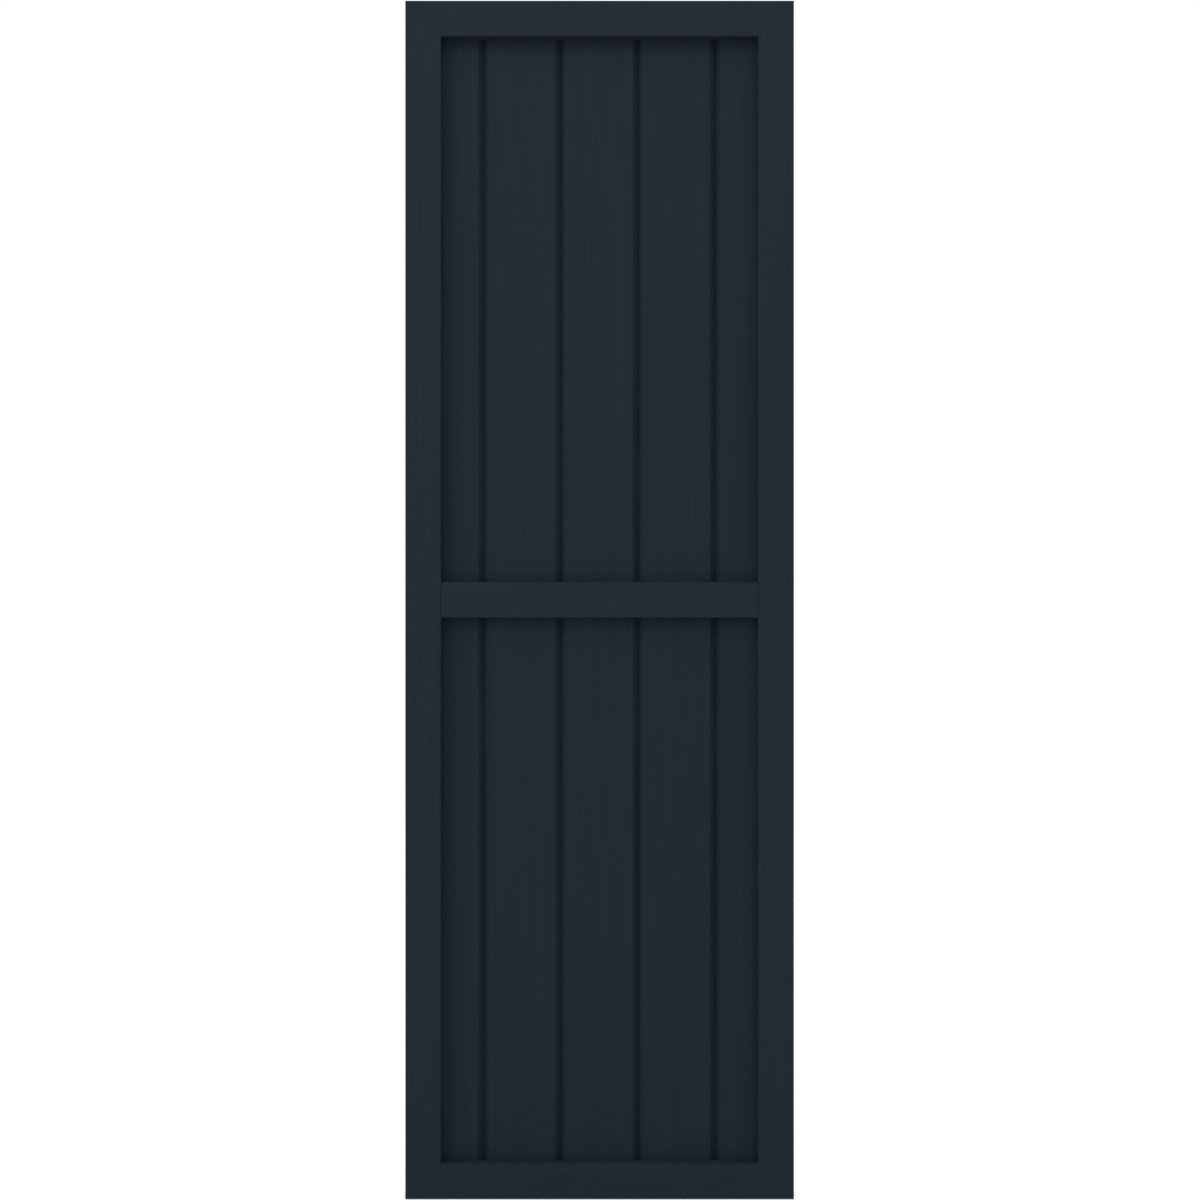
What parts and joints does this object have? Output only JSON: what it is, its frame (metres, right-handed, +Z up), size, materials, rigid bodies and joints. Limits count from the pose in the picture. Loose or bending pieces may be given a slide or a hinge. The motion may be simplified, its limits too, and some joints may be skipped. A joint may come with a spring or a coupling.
{
  "type": "board and batten shutter",
  "caption": "Tall framed board and batten window shutter: upright V-jointed boards behind a mitred face frame with a middle rail, painted dark blue grey, for fixing flat on a wall.",
  "frame": {"origin": "middle of the flat back face, which lies against the wall", "axes": "+X to the right and +Z up as the face is seen, +Y out of the back and into the wall, so the face looks along -Y"},
  "size_m": [0.3048, 0.0286, 0.9398],
  "materials": {
    "boards": "matte",
    "face_frame": "matte",
    "fixings": "satin"
  },
  "bodies": {
    "root": {"far_left_board": "boards", "left_board": "boards", "centre_board": "boards", "right_board": "boards", "far_right_board": "boards", "left_stile": "face_frame", "right_stile": "face_frame", "top_rail": "face_frame", "bottom_rail": "face_frame", "middle_rail": "face_frame"}
  },
  "joints": []
}
